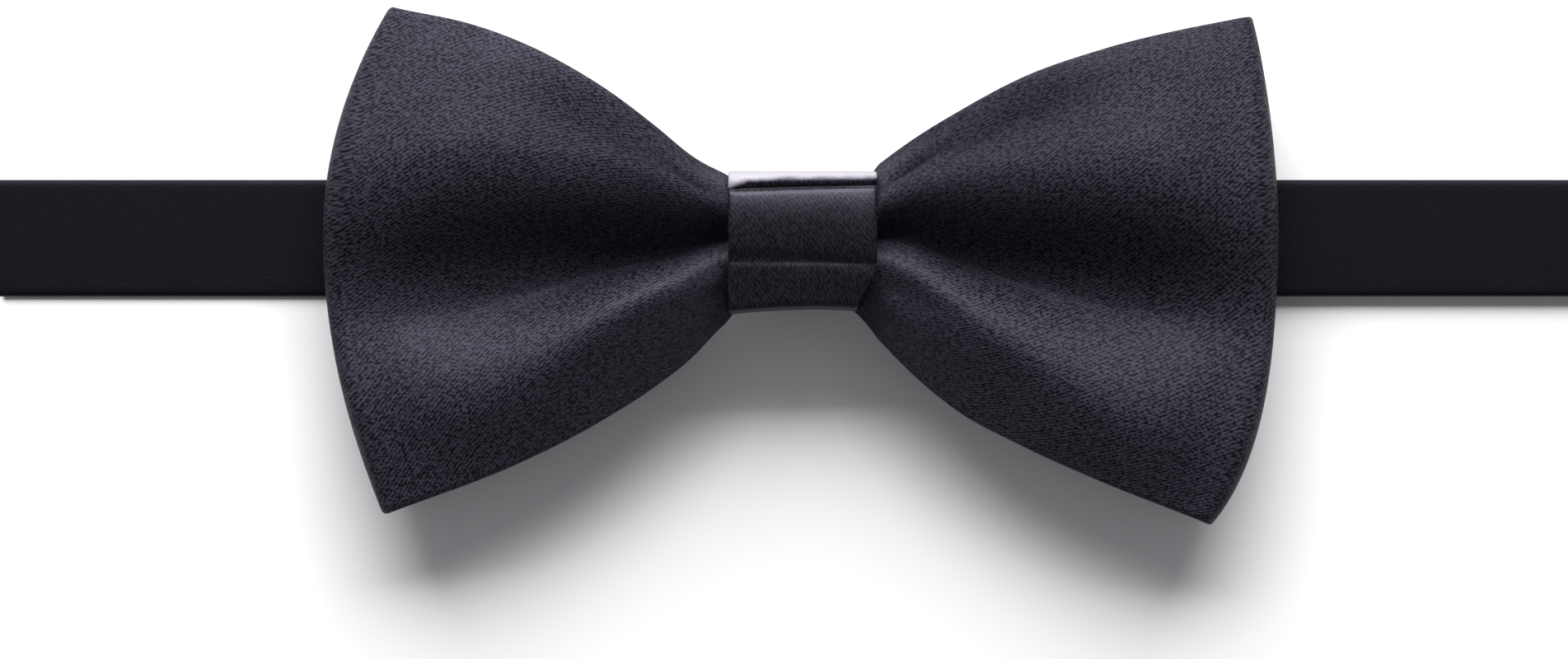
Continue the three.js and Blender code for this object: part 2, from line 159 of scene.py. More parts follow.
# how far the upper edge curls up
EDGE_CURL = [(0, 0), (0.2, 1.6), (0.45, 2.7), (0.65, 2.1), (0.85, 0.7), (1, 0.8)]
UPPER_RIDGE_PLACE = [(0, 0.62), (0.2, 0.66), (0.45, 0.6), (0.7, 0.57), (1, 0.48)]
LOWER_RIDGE_PLACE = [(0, 0.24), (0.2, 0.28), (0.45, 0.45), (0.7, 0.57), (1, 0.52)]
UPPER_FULLNESS = 1.2  # how far a lobe stays full towards the edge
LOWER_FULLNESS = 1.15
UPPER_STEEP = 1.9  # how gently a lobe starts to rise from the pleat
CURL_WIDTH = 0.2  # of the distance from the pleat to the edge
GATHER_DEPTH = 0.2  # small ripples where the knot pinches the cloth
GATHER_REACH = 0.2
TUCK_PLACE = 0.9  # a ridge near the upper edge, beside the knot
TUCK_WIDTH = 0.035
TUCK_HEIGHT = 0.6
TUCK_REACH = 0.25
GROOVE_PLACE = (0.835, 0.3)  # a small pleat beside the knot: its start and its slant
GROOVE_WIDTH = 0.028
GROOVE_DEPTH = 0.55
GROOVE_OUT = (0.13, 0.09)  # how far out it is deepest, and its spread
SLACK = 0.1  # slow unevenness all over


def lobe(a, low, ridge, edge, place, fullness, steep):
    """A rounded lobe: low at a = 0, its ridge at place and the cloth's edge at a = 1."""
    rise = np.clip(a / place, 0, 1)
    fall = np.clip((a - place) / (1 - place), 0, 1)
    swell = rise**steep / (rise**steep + (1 - rise) ** 2)
    climb = low + (ridge - low) * swell
    return np.where(a < place, climb, ridge - (ridge - edge) * fall**fullness)


def wing_height(wing, t, v):
    """Height of a wing's front over its back ply along one row, t out from the knot."""
    pleat = through(wing["pleat"], t)
    low = through(PLEAT_HEIGHT, t)
    up = np.clip((v - pleat) / (1 - pleat), 0, 1)
    down = np.clip((pleat - v) / pleat, 0, 1)
    place = through(UPPER_RIDGE_PLACE, t) + wing["ridge_shift"]
    ridge, edge = through(UPPER_RIDGE, t), through(UPPER_EDGE, t)
    upper = lobe(up, low, ridge, edge, place, UPPER_FULLNESS, UPPER_STEEP)
    upper = upper + through(EDGE_CURL, t) * np.exp(-(((1 - up) / CURL_WIDTH) ** 2))
    place = through(LOWER_RIDGE_PLACE, t)
    ridge, edge = through(LOWER_RIDGE, t), through(LOWER_EDGE, t)
    lower = lobe(down, low, ridge, edge, place, LOWER_FULLNESS, wing["lower_steep"])
    height = np.where(v > pleat, upper, lower)
    near = math.exp(-t / GATHER_REACH) * min(1, t / 0.03)
    wave = np.cos(21 * v + wing["gathers"]) + 0.6 * np.cos(37 * v + 2 * wing["gathers"])
    height = height + GATHER_DEPTH * near * wave
    tuck = np.exp(-(((v - TUCK_PLACE) / TUCK_WIDTH) ** 2))
    height = height + TUCK_HEIGHT * math.exp(-((t / TUCK_REACH) ** 2)) * tuck
    start, slant = GROOVE_PLACE
    deepest, spread = GROOVE_OUT
    groove = np.exp(-(((v - start - slant * t) / GROOVE_WIDTH) ** 2))
    height = height - GROOVE_DEPTH * math.exp(-(((t - deepest) / spread) ** 2)) * groove
    slack = np.sin(9 * v + 7 * t + wing["gathers"]) + np.sin(17 * v - 11 * t) * 0.7
    height = height + SLACK * slack * min(1, 4 * t) * min(1, 6 * (1 - t))
    softness = 0.004 + 0.02 * t  # how wide the pleat's bottom is rounded
    reach = np.linspace(-2.5, 2.5, 21)
    weights = np.exp(-(reach**2) / 2)
    places = np.clip(v[:, None] + reach * softness, 0, 1)
    return (np.interp(places, v, height) * weights).sum(1) / weights.sum()


ACROSS = 64
FRONT_ROWS = 50
FOLD_ROWS = 8
BACK_ROWS = 16
KNOT_ROWS = 6
KNOT_CROWDING = 1.15  # the front's rows lie closer together towards the knot
BACK_TUCK = 1.6  # how far the back ply is pushed up in the middle of the pinch
TUCK_OUT = 0.3
TUCK_ACROSS = 0.16
# across the bow, from its lower edge, 0, to its upper edge, 1
v = np.linspace(0, 1, ACROSS + 1)


def wing_rows(wing):
    """Rows of points from the middle of the front, out and round, to the middle behind."""
    outer = bezier(*wing["outer"], v)
    low_tip, high_tip = (np.array(wing[edge][-1], float) for edge in ("bottom", "top"))
    chord = low_tip + (high_tip - low_tip) * v[:, None]
    fold = wing_height(wing, 1, v) / 2
    reach = 1 - fold / outer[:, 0]

    def edge(name, out):
        x = wing[name][0][0] + (wing[name][-1][0] - wing[name][0][0]) * out
        return np.stack([x, through(wing[name], x, level_ends=False)], axis=-1)

    def spread(t):
        out = t * reach
        below, above = edge("bottom", out), edge("top", out)
        return below + (above - below) * v[:, None] + (outer - chord) * out[:, None]

    def tucked(t):
        return BACK_TUCK * math.exp(-t / TUCK_OUT) * np.exp(-(((v - 0.5) / TUCK_ACROSS) ** 2))

    rows = []

    def row(xy, z):
        rows.append(np.column_stack([wing["side"] * xy[:, 0], xy[:, 1] + BAND_Y, z]))

    def knot_row(share, z):
        low, high = (p + (e - p) * share**3 for p, e in zip(PINCH, wing["knot_edge"]))
        xy = np.column_stack([np.full_like(v, share * KNOT_EDGE_X), low + (high - low) * v])
        row(xy, z)

    for share in np.linspace(0, 0.97, KNOT_ROWS):
        knot_row(share, BACK_Z + wing_height(wing, 0, v))
    for t in np.linspace(0, 1, FRONT_ROWS) ** KNOT_CROWDING:
        row(spread(t), BACK_Z + wing_height(wing, t, v))
    for step in range(1, FOLD_ROWS):
        angle = math.pi * (0.5 - step / FOLD_ROWS)
        row(
            spread(1) + (outer - spread(1)) * math.cos(angle),
            BACK_Z + fold * (1 + math.sin(angle)),
        )
    for t in np.linspace(1, 0, BACK_ROWS):
        row(spread(t), BACK_Z + tucked(t))
    for share in np.linspace(1, 0.02, KNOT_ROWS):
        knot_row(share, BACK_Z + tucked(0))
    return rows


def cloth(name, rows, thickness, levels=1):
    """A ply of cloth of even thickness on rows of points in mm, with its own UV map."""
    grid = np.array(rows)
    count, wide = grid.shape[:2]
    faces = [
        (i * wide + j, (i + 1) * wide + j, (i + 1) * wide + j + 1, i * wide + j + 1)
        for i in range(count - 1)
        for j in range(wide - 1)
    ]
    mesh = bpy.data.meshes.new(name)
    mesh.from_pydata((grid.reshape(-1, 3) * MM).tolist(), [], faces)
    middle = grid[:, wide // 2]
    along = np.concatenate([[0], np.cumsum(np.linalg.norm(np.diff(middle, axis=0), axis=1))])
    widths = np.linalg.norm(np.diff(grid, axis=1), axis=2).sum(axis=1)
    spread = np.linspace(-0.5, 0.5, wide)
    uv = np.stack(
        [
            np.repeat(along[:, None], wide, axis=1),
            np.repeat(spread[None], count, axis=0) * widths.max(),
        ],
        axis=2,
    ).reshape(-1, 2) * MM
    layer = mesh.uv_layers.new(name="cloth")
    loops = np.zeros(len(mesh.loops), int)
    mesh.loops.foreach_get("vertex_index", loops)
    layer.data.foreach_set("uv", uv[loops].ravel())
    piece = bpy.data.objects.new(name, mesh)
    bpy.context.collection.objects.link(piece)
    bpy.ops.object.select_all(action="DESELECT")
    piece.select_set(True)
    bpy.context.view_layer.objects.active = piece
    solid = piece.modifiers.new("ply", "SOLIDIFY")
    solid.thickness = thickness * MM
    solid.offset = 0
    bpy.ops.object.modifier_apply(modifier="ply")
    # how deep in the ply each point is, so that the grain turns over the cloth's edges
    depth = piece.data.attributes.new("depth", "FLOAT", "POINT")
    sides = np.repeat([0.5, -0.5], count * wide) * thickness * MM
    depth.data.foreach_set("value", sides)
    if levels:
        smooth = piece.modifiers.new("smooth", "SUBSURF")
        smooth.levels = levels
        smooth.render_levels = levels
        bpy.ops.object.modifier_apply(modifier="smooth")
    bpy.ops.object.shade_smooth()
    return piece


FLOAT_SCALE = 2400  # of the thread floats, per metre
TWILL_SCALE = 640
TWILL_ANGLE = 52  # degrees between its lines and the width of the cloth
TWILL_SHARE = 0.13
RELIEF = 0.06  # of the weave
CONTRAST = 0.2  # the smaller, the harder the grain
POLISH_SPREAD = 0.06  # how much the roughness wanders


def satin(name, dark, pale, roughness, gloss, grain=1.0, bump=1.0, sheen=0.02):
    """Black satin: a fine grain of thread floats and a faint diagonal, with a cool sheen."""
    material = bpy.data.materials.new(name)
    material.use_nodes = True
    nodes = material.node_tree.nodes
    links = material.node_tree.links
    shader = nodes["Principled BSDF"]
    place = nodes.new("ShaderNodeUVMap")
    place.uv_map = "cloth"

    depth = nodes.new("ShaderNodeAttribute")
    depth.attribute_name = "depth"
    flat = nodes.new("ShaderNodeSeparateXYZ")
    links.new(place.outputs["UV"], flat.inputs["Vector"])
    within = nodes.new("ShaderNodeCombineXYZ")
    links.new(flat.outputs["X"], within.inputs["X"])
    links.new(flat.outputs["Y"], within.inputs["Y"])
    links.new(depth.outputs["Fac"], within.inputs["Z"])

    floats = nodes.new("ShaderNodeTexNoise")
    floats.inputs["Scale"].default_value = FLOAT_SCALE
    floats.inputs["Detail"].default_value = 2
    floats.inputs["Roughness"].default_value = 0.6
    stretch = nodes.new("ShaderNodeMapping")
    stretch.inputs["Scale"].default_value = (0.8, 1.25, 1)
    links.new(within.outputs["Vector"], stretch.inputs["Vector"])
    links.new(stretch.outputs["Vector"], floats.inputs["Vector"])

    turn = nodes.new("ShaderNodeMapping")
    turn.inputs["Rotation"].default_value = (0, 0, math.radians(TWILL_ANGLE))
    links.new(place.outputs["UV"], turn.inputs["Vector"])
    twill = nodes.new("ShaderNodeTexWave")
    twill.inputs["Scale"].default_value = TWILL_SCALE
    twill.inputs["Distortion"].default_value = 1.4
    twill.inputs["Detail"].default_value = 1
    links.new(turn.outputs["Vector"], twill.inputs["Vector"])

    weave = nodes.new("ShaderNodeMix")
    weave.inputs["Factor"].default_value = TWILL_SHARE
    links.new(floats.outputs["Fac"], weave.inputs[2])
    links.new(twill.outputs["Fac"], weave.inputs[3])

    cloud = nodes.new("ShaderNodeTexNoise")
    cloud.inputs["Scale"].default_value = 120
    cloud.inputs["Detail"].default_value = 3
    links.new(place.outputs["UV"], cloud.inputs["Vector"])

    contrast = nodes.new("ShaderNodeMapRange")
    contrast.inputs["From Min"].default_value = 0.5 - CONTRAST / grain
    contrast.inputs["From Max"].default_value = 0.5 + CONTRAST / grain
    links.new(weave.outputs[0], contrast.inputs["Value"])

    shade = nodes.new("ShaderNodeMix")
    shade.data_type = "RGBA"
    shade.inputs[6].default_value = (*dark, 1)
    shade.inputs[7].default_value = (*pale, 1)
    links.new(contrast.outputs["Result"], shade.inputs["Factor"])
    links.new(shade.outputs[2], shader.inputs["Base Color"])

    polish = nodes.new("ShaderNodeMapRange")
    polish.inputs["From Min"].default_value = 0.3
    polish.inputs["From Max"].default_value = 0.7
    polish.inputs["To Min"].default_value = roughness + POLISH_SPREAD
    polish.inputs["To Max"].default_value = roughness - POLISH_SPREAD
    links.new(cloud.outputs["Fac"], polish.inputs["Value"])
    links.new(polish.outputs["Result"], shader.inputs["Roughness"])

    relief = nodes.new("ShaderNodeBump")
    relief.inputs["Strength"].default_value = bump
    relief.inputs["Distance"].default_value = RELIEF * MM
    links.new(weave.outputs[0], relief.inputs["Height"])
    links.new(relief.outputs["Normal"], shader.inputs["Normal"])

    shader.inputs["Specular IOR Level"].default_value = gloss
    shader.inputs["Specular Tint"].default_value = (0.8, 0.77, 1, 1)
    shader.inputs["Sheen Weight"].default_value = sheen
    shader.inputs["Sheen Roughness"].default_value = 0.2
    shader.inputs["Sheen Tint"].default_value = (0.75, 0.73, 1, 1)
    return material


left_rows = wing_rows(LEFT_WING)
right_rows = wing_rows(RIGHT_WING)
bow = cloth("bow", left_rows[::-1] + right_rows[1:], BOW_PLY)
bow_satin = satin(
    "bow_satin",
    dark=(0.0015, 0.0015, 0.002),
    pale=(0.04, 0.0375, 0.053),
    roughness=0.55,
    gloss=0.13,
    grain=1.7,
)
bow.data.materials.append(bow_satin)
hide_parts("bow_satin")
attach(bow, "bow")

# ---- Bow interlining ----------------------------------------------------------------
# A strip of charcoal felt, cut a little smaller than the tube and slipped inside it.
# It follows every bend of the bow and keeps the wings full.
FELT_PLY = 0.3
FELT_INSET = 2  # columns short of the tube's folded edges
felt_rows = [r[FELT_INSET:-FELT_INSET] for r in (left_rows[::-1] + right_rows[1:])[1:-1]]
felt = cloth("bow_felt", felt_rows, FELT_PLY, 0)
felt_look = bpy.data.materials.new("felt")
felt_look.use_nodes = True
felt_nodes = felt_look.node_tree.nodes
fibres = felt_nodes.new("ShaderNodeTexNoise")
fibres.inputs["Scale"].default_value = 1800
fibres.inputs["Detail"].default_value = 6
fibre_tone = felt_nodes.new("ShaderNodeMix")
fibre_tone.data_type = "RGBA"
fibre_tone.inputs[6].default_value = (0.02, 0.02, 0.022, 1)
fibre_tone.inputs[7].default_value = (0.09, 0.09, 0.095, 1)
felt_links = felt_look.node_tree.links
felt_where = felt_nodes.new("ShaderNodeTexCoord")
felt_links.new(felt_where.outputs["Object"], fibres.inputs["Vector"])
felt_links.new(fibres.outputs["Fac"], fibre_tone.inputs["Factor"])
felt_shader = felt_nodes["Principled BSDF"]
felt_links.new(fibre_tone.outputs[2], felt_shader.inputs["Base Color"])
felt_shader.inputs["Roughness"].default_value = 0.95
felt.data.materials.append(felt_look)
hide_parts("bow_interlining")
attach(felt, "bow")

# ---- Gather thread ------------------------------------------------------------------
# Strong black thread, wound four times round the pinched bow and pulled tight. The
# wrap covers it.
def thread(name, points, radius):
    """A length of thread through points in mm, drawn as a smooth curve and made a mesh."""
    line = bpy.data.curves.new(name, "CURVE")
    line.dimensions = "3D"
    line.bevel_depth = radius * MM
    line.bevel_resolution = 2
    line.resolution_u = 3
    line.use_fill_caps = True
    spline = line.splines.new("NURBS")
    spline.points.add(len(points) - 1)
    for point, place in zip(spline.points, points):
        point.co = (*(c * MM for c in place), 1)
    spline.order_u = 3
    spline.use_endpoint_u = True
    piece = bpy.data.objects.new(name, line)
    bpy.context.collection.objects.link(piece)
    bpy.ops.object.select_all(action="DESELECT")
    piece.select_set(True)
    bpy.context.view_layer.objects.active = piece
    bpy.ops.object.convert(target="MESH")
    bpy.ops.object.shade_smooth()
    piece = bpy.context.object
    piece.data.materials.append(thread_look)
    return piece


thread_look = bpy.data.materials.new("thread")
thread_look.use_nodes = True
thread_nodes = thread_look.node_tree.nodes
thread_links = thread_look.node_tree.links
thread_place = thread_nodes.new("ShaderNodeTexCoord")
strands = thread_nodes.new("ShaderNodeTexWave")
strands.bands_direction = "DIAGONAL"
strands.inputs["Scale"].default_value = 900
thread_links.new(thread_place.outputs["Object"], strands.inputs["Vector"])
strand_tone = thread_nodes.new("ShaderNodeMix")
strand_tone.data_type = "RGBA"
strand_tone.inputs[6].default_value = (0.006, 0.006, 0.008, 1)
strand_tone.inputs[7].default_value = (0.03, 0.03, 0.036, 1)
thread_links.new(strands.outputs["Fac"], strand_tone.inputs["Factor"])
strand_relief = thread_nodes.new("ShaderNodeBump")
strand_relief.inputs["Distance"].default_value = 0.05 * MM
thread_links.new(strands.outputs["Fac"], strand_relief.inputs["Height"])
thread_shader = thread_nodes["Principled BSDF"]
thread_links.new(strand_tone.outputs[2], thread_shader.inputs["Base Color"])
thread_links.new(strand_relief.outputs["Normal"], thread_shader.inputs["Normal"])
thread_shader.inputs["Roughness"].default_value = 0.5

WINDINGS = 4
WINDING_PITCH = 0.9
WINDING_CORNER = 1.6
WINDING_Y = (-8.3, 6.75)
WINDING_Z = (6.15, 13.95)


def arc(y, z, radius, start, end, steps):
    angles = np.radians(np.linspace(start, end, steps + 1))
    return [(y + radius * math.cos(a), z + radius * math.sin(a)) for a in angles]


low_y, high_y = WINDING_Y[0] + WINDING_CORNER, WINDING_Y[1] - WINDING_CORNER
low_z, high_z = WINDING_Z[0] + WINDING_CORNER, WINDING_Z[1] - WINDING_CORNER
one_turn = (
    arc(high_y, high_z, WINDING_CORNER, 0, 90, 4)
    + arc(low_y, high_z, WINDING_CORNER, 90, 180, 4)
    + arc(low_y, low_z, WINDING_CORNER, 180, 270, 4)
    + arc(high_y, low_z, WINDING_CORNER, 270, 360, 4)
)
winding = []
for step in range(WINDINGS * len(one_turn)):
    y, z = one_turn[step % len(one_turn)]
    x = WINDING_PITCH * (step / len(one_turn) - WINDINGS / 2)
    winding.append((x, y + BAND_Y, z))
gather = thread("gather_winding", winding, 0.2)
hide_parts("gather_thread")
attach(gather, "bow")

# ---- Knot wrap ----------------------------------------------------------------------
# A folded strip of the same satin, pulled tight round the pinched bow and the band and
# stitched behind. Its front holds a soft crease, and it rolls over sharply at the top.
WRAP_PLY = 0.6
WRAP_TOP = 8.0
WRAP_BOTTOM = -9.5
WRAP_FRONT_Z = 15.6
WRAP_LOWER_Z = 15  # the front below the crease, which slopes down from there
WRAP_SLOPE = 0.13
LOWER_Y = (-7.8, -3.7)  # where the part below the crease starts and ends
BACK_RADIUS = 1.2  # of the two corners behind
BASE_RADIUS = 1.2  # of the roll at the bottom
BASE_Z = 14.4
BASE_ARCH = 0.65  # how far the lower edge is drawn up between its corners
CREASE_DEPTH = 0.28
FINE_Y = 6.2  # a sharp crease under the top roll
FINE_DEPTH = 0.45
CORNER_LIFT = 0.25  # a small ridge at the upper left corner
HEM_DROP = 0.35  # how far both side edges turn down
CORNER_CUT = 2.4  # how far the lower right corner slants in
WRAP_BACK_Z = 4.5
FLAP_Z = 3.75
WRAP_HALF = 9.4
WRAP_ACROSS = 36
CREASE_Y = -2.8
CROWN_Y = 0.8  # the highest line of the part above the crease
CROWN_RADIUS = 13
ROLL_RADIUS = 1.5  # at the top
ROLL_Z = 13

wrap_path = (
    [(3, WRAP_BACK_Z), (-3, WRAP_BACK_Z), (-7, WRAP_BACK_Z)]
    + arc(WRAP_BOTTOM + BACK_RADIUS, WRAP_BACK_Z + BACK_RADIUS, BACK_RADIUS, 270, 180, 5)
    + [(WRAP_BOTTOM, 8), (WRAP_BOTTOM, 10), (WRAP_BOTTOM, 12)]
    + arc(WRAP_BOTTOM + BASE_RADIUS, BASE_Z - BASE_RADIUS, BASE_RADIUS, 180, 97, 8)
    + [(y, WRAP_LOWER_Z + WRAP_SLOPE * (y - LOWER_Y[1])) for y in np.linspace(*LOWER_Y, 9)]
    + [
        (y, WRAP_FRONT_Z - (y - CROWN_Y) ** 2 / (2 * CROWN_RADIUS))
        for y in np.linspace(-3.3, 6.3, 34)
    ]
    + arc(WRAP_TOP - ROLL_RADIUS, ROLL_Z, ROLL_RADIUS, 80, 0, 8)
    + [(WRAP_TOP, 11.5), (WRAP_TOP, 10), (WRAP_TOP, 7.5)]
    + arc(WRAP_TOP - BACK_RADIUS, FLAP_Z + BACK_RADIUS, BACK_RADIUS, 0, -90, 5)
    + [(4, FLAP_Z), (0, FLAP_Z), (-4, FLAP_Z)]
)


def smooth_step(low, high, value):
    share = min(1, max(0, (value - low) / (high - low)))
    return share * share * (3 - 2 * share)


def wrap_point(across, y, z):
    """A point of the wrap, across from -1 to 1, with the strip's own creases and slants."""
    front = smooth_step(10, 14, z)  # 1 over the front, 0 behind
    below = smooth_step(-5, -8.5, y)  # 1 along the lower edge
    crease_y = CREASE_Y - 0.5 * across - 0.3 * across**2
    crease = math.exp(-(((y - crease_y) / 0.8) ** 2))
    fine = math.exp(-(((y - FINE_Y - 0.3 * across) / 0.32) ** 2))
    corner = math.exp(-(((y - 5.6 - 1.1 * WRAP_HALF * (1 + across)) / 0.5) ** 2))
    hem = abs(across) ** 10
    x = across * WRAP_HALF
    if across > 0:
        x -= CORNER_CUT * across * smooth_step(CREASE_Y - 1, WRAP_BOTTOM, y)
    y += BASE_ARCH * (1 - ((across - 0.25) / 1.25) ** 2) * below
    creases = CORNER_LIFT * corner - CREASE_DEPTH * crease - FINE_DEPTH * fine
    z += front * (creases - HEM_DROP * hem)
    return x, y + BAND_Y, z


steps = np.linspace(1, -1, WRAP_ACROSS + 1)
wrap_rows = [[wrap_point(a, y, z) for a in steps] for y, z in wrap_path]
wrap = cloth("knot_wrap_cloth", wrap_rows, WRAP_PLY)
wrap_satin = satin(
    "wrap_satin",
    dark=(0.0008, 0.0008, 0.001),
    pale=(0.012, 0.0112, 0.015),
    roughness=0.36,
    gloss=0.28,
    grain=1.7,
    bump=0.6,
    sheen=0.1,
)
# A pale line set into the cloth's colour is a painted highlight: it stands for the shine of
# the stretched satin along the top roll. It is widest at the left corner.
SHINE_Y = (6.5, 7.3)  # where the shine starts and is full, up the roll
SHINE_TONE = (0.33, 0.31, 0.335, 1)
SHINE_THINNING = 0.35  # from the left end to the right
CORNER_WIDTH = 2.4
CORNER_DROP = 1.3
middle = np.array(wrap_rows)[:, WRAP_ACROSS // 2] * MM
along = np.concatenate([[0], np.cumsum(np.linalg.norm(np.diff(middle, axis=0), axis=1))])
roll = [i for i, (y, z) in enumerate(wrap_path) if z > ROLL_Z - 1 and y > SHINE_Y[0]]
shine_start = along[next(i for i in roll if wrap_path[i][0] >= SHINE_Y[0])]
shine_full = along[next(i for i in roll if wrap_path[i][0] >= SHINE_Y[1])]
shine_end = along[roll[-1]] + 1 * MM
wrap_nodes = wrap_satin.node_tree.nodes
wrap_links = wrap_satin.node_tree.links
wrap_uv = wrap_nodes.new("ShaderNodeUVMap")
wrap_uv.uv_map = "cloth"
split = wrap_nodes.new("ShaderNodeSeparateXYZ")
wrap_links.new(wrap_uv.outputs["UV"], split.inputs["Vector"])
corner_lift = wrap_nodes.new("ShaderNodeMapRange")
corner_lift.inputs["From Min"].default_value = (WRAP_HALF - CORNER_WIDTH) * MM
corner_lift.inputs["From Max"].default_value = WRAP_HALF * MM
corner_lift.inputs["To Max"].default_value = CORNER_DROP * MM
wrap_links.new(split.outputs["Y"], corner_lift.inputs["Value"])
thinning = wrap_nodes.new("ShaderNodeMapRange")
thinning.inputs["From Min"].default_value = WRAP_HALF * MM
thinning.inputs["From Max"].default_value = -WRAP_HALF * MM
thinning.inputs["To Max"].default_value = -SHINE_THINNING * MM
wrap_links.new(split.outputs["Y"], thinning.inputs["Value"])
ripple = wrap_nodes.new("ShaderNodeTexNoise")
ripple.inputs["Scale"].default_value = 260
wrap_links.new(wrap_uv.outputs["UV"], ripple.inputs["Vector"])
rippled = wrap_nodes.new("ShaderNodeMapRange")
rippled.inputs["To Min"].default_value = -0.5 * MM
rippled.inputs["To Max"].default_value = 0.5 * MM
wrap_links.new(ripple.outputs["Fac"], rippled.inputs["Value"])
reached = split.outputs["X"]
for lift in (corner_lift, thinning, rippled):
    lifted = wrap_nodes.new("ShaderNodeMath")
    wrap_links.new(reached, lifted.inputs[0])
    wrap_links.new(lift.outputs["Result"], lifted.inputs[1])
    reached = lifted.outputs[0]
rising = wrap_nodes.new("ShaderNodeMapRange")
rising.interpolation_type = "SMOOTHSTEP"
rising.inputs["From Min"].default_value = shine_start
rising.inputs["From Max"].default_value = shine_full
wrap_links.new(reached, rising.inputs["Value"])
fading = wrap_nodes.new("ShaderNodeMapRange")
fading.interpolation_type = "SMOOTHSTEP"
fading.inputs["From Min"].default_value = shine_end
fading.inputs["From Max"].default_value = shine_full
wrap_links.new(split.outputs["X"], fading.inputs["Value"])
shine = wrap_nodes.new("ShaderNodeMath")
shine.operation = "MULTIPLY"
wrap_links.new(rising.outputs["Result"], shine.inputs[0])
wrap_links.new(fading.outputs["Result"], shine.inputs[1])
wrap_shader = wrap_nodes["Principled BSDF"]
shone = wrap_nodes.new("ShaderNodeMix")
shone.data_type = "RGBA"
shone.inputs[7].default_value = SHINE_TONE
wrap_links.new(shine.outputs[0], shone.inputs["Factor"])
wrap_links.new(wrap_shader.inputs["Base Color"].links[0].from_socket, shone.inputs[6])
wrap_links.new(shone.outputs[2], wrap_shader.inputs["Base Color"])
wrap.data.materials.append(wrap_satin)
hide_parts("knot_wrap")
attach(wrap, "bow")

# ---- Knot interlining ---------------------------------------------------------------
# A strip of the same felt, a little narrower than the wrap. It is laid under the wrap's
# front and held by its pull, and it keeps the knot's face smooth.
STIFFENER_PLY = 0.3
STIFFENER_HALF = 0.86  # of the wrap's width
STIFFENER_Z = 14.05
stiffener_path = (
    [(-8.3, 11.2), (-8.3, 11.7)]
    + arc(-6.1, STIFFENER_Z - 2.2, 2.2, 170, 95, 6)
    + [(y, STIFFENER_Z) for y in np.linspace(-5, 5, 9)]
    + arc(5.5, STIFFENER_Z - 1.6, 1.6, 85, 10, 6)
    + [(7.2, 11.6), (7.2, 11.2)]
)
stiffener = cloth(
    "knot_stiffener",
    [
        [(wrap_point(a, y, 0)[0], y + BAND_Y, z) for a in steps[::3] * STIFFENER_HALF]
        for y, z in stiffener_path
    ],
    STIFFENER_PLY,
)
stiffener.data.materials.append(felt_look)
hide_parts("knot_interlining")
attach(stiffener, "bow")

# ---- Wrap stitches ------------------------------------------------------------------
# Black thread, sewn by hand from side to side along the end of the wrap at the back,
# which closes the overlap.
STITCHES = 15
STITCH_X = 7.9
STITCH_Z = 3.25
FLAP_END = -4
seam = [
    (x, FLAP_END + BAND_Y + (1.1 if i % 2 else -0.6), STITCH_Z)
    for i, x in enumerate(np.linspace(-STITCH_X, STITCH_X, STITCHES))
]
stitches = thread("wrap_seam", seam, 0.15)
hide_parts("wrap_stitches")
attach(stitches, "bow")

# ---- Neck band, front ply -----------------------------------------------------------
# A strip of satin folded to an even width and pressed. It runs behind the bow, through
# the wrap, and past the wings on both sides.
BAND_WIDTH = 15
BAND_PLY = 0.7
BAND_FRONT_Z = 5.3
BAND_REAR_Z = 0.35
FOLD_X = 105
SPLIT_X = 103  # where the front ply, the folds and the rear lengths meet
OVERLAP = 0.3
END_ROW = 0.06  # a row of points this far from each end keeps the cut ends square


def even(path, step=1.6):
    """The same path with its points at even steps, and one more close to each end."""
    path = np.array(path, float)
    along = np.concatenate([[0], np.cumsum(np.linalg.norm(np.diff(path, axis=0), axis=1))])
    places = np.linspace(0, along[-1], max(2, round(along[-1] / step)) + 1)
    places = np.sort([*places, END_ROW, along[-1] - END_ROW])
    return np.column_stack([np.interp(places, along, path[:, i]) for i in (0, 1)])


def band(name, path, ply=BAND_PLY, step=1.6):
    """A length of the band along a path of (x, z) points, and its length in metres."""
    path = even(path, step)
    rows = [
        [(x, y + BAND_Y, z) for y in np.linspace(-BAND_WIDTH / 2, BAND_WIDTH / 2, 11)]
        for x, z in path
    ]
    length = np.linalg.norm(np.diff(path, axis=0), axis=1).sum() * MM
    piece = cloth(name, rows, ply)
    piece.data.materials.append(band_satin)
    return piece, length


band_satin = satin(
    "band_satin",
    dark=(0.0025, 0.0025, 0.003),
    pale=(0.006, 0.0056, 0.0073),
    roughness=0.6,
    gloss=0.11,
    grain=0.6,
    bump=0.5,
)
front, length = band("band_front", [(-SPLIT_X, BAND_FRONT_Z), (SPLIT_X, BAND_FRONT_Z)], step=2.4)
front.visible_shadow = False  # left out so that the band looks as if it lies on the table
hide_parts("neck_band_front")
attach(front, "bow")

# ---- Band folds ---------------------------------------------------------------------
# At each side the band is turned behind itself in a soft fold, which opens out flat
# when the tie is put on.
FOLD_RADIUS = (BAND_FRONT_Z - BAND_REAR_Z) / 2
turn = arc(FOLD_X, BAND_REAR_Z + FOLD_RADIUS, FOLD_RADIUS, 90, -90, 12)
fold_path = [(SPLIT_X - OVERLAP, BAND_FRONT_Z), *turn, (SPLIT_X - OVERLAP, BAND_REAR_Z)]
for side, hand in ((-1, "left"), (1, "right")):
    fold, length = band(f"fold_{hand}", [(side * x, z) for x, z in fold_path], step=0.8)
    fold.visible_shadow = False  # as the front ply
    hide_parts(f"band_fold_{hand}")
    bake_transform(fold)

